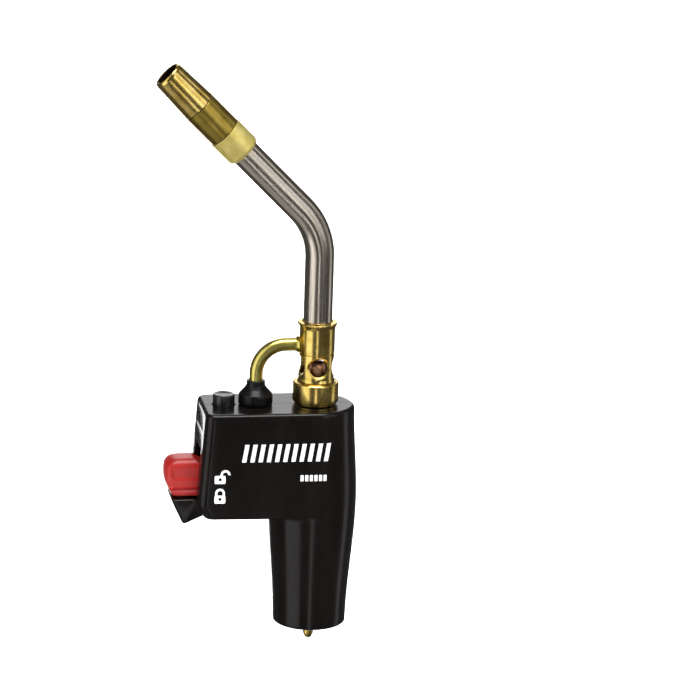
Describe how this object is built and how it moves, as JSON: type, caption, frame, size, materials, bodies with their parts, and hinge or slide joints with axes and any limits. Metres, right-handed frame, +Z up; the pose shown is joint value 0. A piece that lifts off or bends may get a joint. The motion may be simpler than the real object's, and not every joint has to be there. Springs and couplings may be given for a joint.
{
  "type": "propane torch",
  "caption": "Trigger-start gas torch: black pistol housing that screws onto a gas cylinder, sliding red trigger, run-lock button, brass mixer, bent steel burner tube and brass tip.",
  "frame": {"origin": "centre of the threaded socket's mouth, at the foot of the grip", "axes": "+Z up along the grip and the mixer, -X towards the trigger and the burner's mouth, +Y to the side that the screws go in"},
  "size_m": [0.0999, 0.0422, 0.2823],
  "materials": {
    "black_housing": "moulded ABS, satin sides",
    "red_trigger": "moulded, glossy",
    "grey_button": "moulded, glossy",
    "black_rubber": "moulded rubber",
    "brass": "machined, bright",
    "tip_brass": "turned, lightly oxidised",
    "matte_brass": "matte turned ring",
    "stainless_tube": "drawn tube, warm grey",
    "spring_steel": "drawn wire",
    "zinc_steel": "zinc plated",
    "cast_zinc": "die cast",
    "ivory_nylon": "moulded nylon",
    "lead_silicone": "silicone sleeve",
    "white_ceramic": "fired alumina"
  },
  "bodies": {
    "housing": {"left_shell": "black_housing", "right_shell": "black_housing", "housing_screw_1": "zinc_steel", "housing_screw_2": "zinc_steel", "housing_screw_3": "zinc_steel", "housing_screw_4": "zinc_steel", "socket_ring": "brass", "inlet_nipple": "brass", "socket_seal": "black_rubber", "regulator_body": "cast_zinc", "regulator_diaphragm": "black_rubber", "regulator_cap": "cast_zinc", "regulator_spring": "spring_steel", "outlet_pipe": "brass", "valve_block": "brass", "valve_seal": "black_rubber", "valve_spring": "spring_steel", "lever_pin": "spring_steel", "feed_tube": "brass", "jet_nozzle": "brass", "mixer_collar": "brass", "mixer_body": "brass", "burner_tube": "stainless_tube", "tip_base_ring": "matte_brass", "tip_sleeve": "tip_brass", "tip_barrel": "tip_brass", "flame_swirler": "brass", "electrode_insulator": "white_ceramic", "spark_electrode": "spring_steel", "ignition_tube": "brass", "lead_boot": "black_rubber", "igniter_lead": "lead_silicone", "piezo_body": "ivory_nylon", "trigger_spring": "spring_steel", "run_lock_spring": "spring_steel"},
    "carriage": {"trigger_carriage": "ivory_nylon", "piezo_plunger": "ivory_nylon"},
    "trigger": {"trigger": "red_trigger"},
    "lever": {"valve_lever": "zinc_steel"},
    "stem": {"valve_stem": "zinc_steel"},
    "lock_button": {"run_lock_button": "grey_button"}
  },
  "joints": [
    {"name": "trigger_press", "type": "slide", "parent": "housing", "child": "carriage", "axis": [1, 0, 0], "range_m": [0, 0.007], "stiffness_N_per_m": 600, "springref_m": -0.006, "deforming": ["trigger_spring"]},
    {"name": "trigger_lock", "type": "slide", "parent": "carriage", "child": "trigger", "axis": [0, 0, 1], "range_m": [0, 0.005]},
    {"name": "valve_lever_swing", "type": "hinge", "parent": "housing", "child": "lever", "pos_m": [-0.014, 0.007, 0.088], "axis": [0, -1, 0], "range_deg": [0, 23]},
    {"name": "valve_stem_slide", "type": "slide", "parent": "housing", "child": "stem", "axis": [1, 0, 0], "range_m": [0, 0.0036], "deforming": ["valve_spring"]},
    {"name": "run_lock_press", "type": "slide", "parent": "housing", "child": "lock_button", "axis": [0, 0, -1], "range_m": [0, 0.003], "stiffness_N_per_m": 400, "springref_m": -0.003, "deforming": ["run_lock_spring"]}
  ],
  "couplings": [
    {"joint": "valve_lever_swing", "follows": "trigger_press", "rad_per_m": 55.556},
    {"joint": "valve_stem_slide", "follows": "trigger_press", "ratio": 0.5}
  ]
}
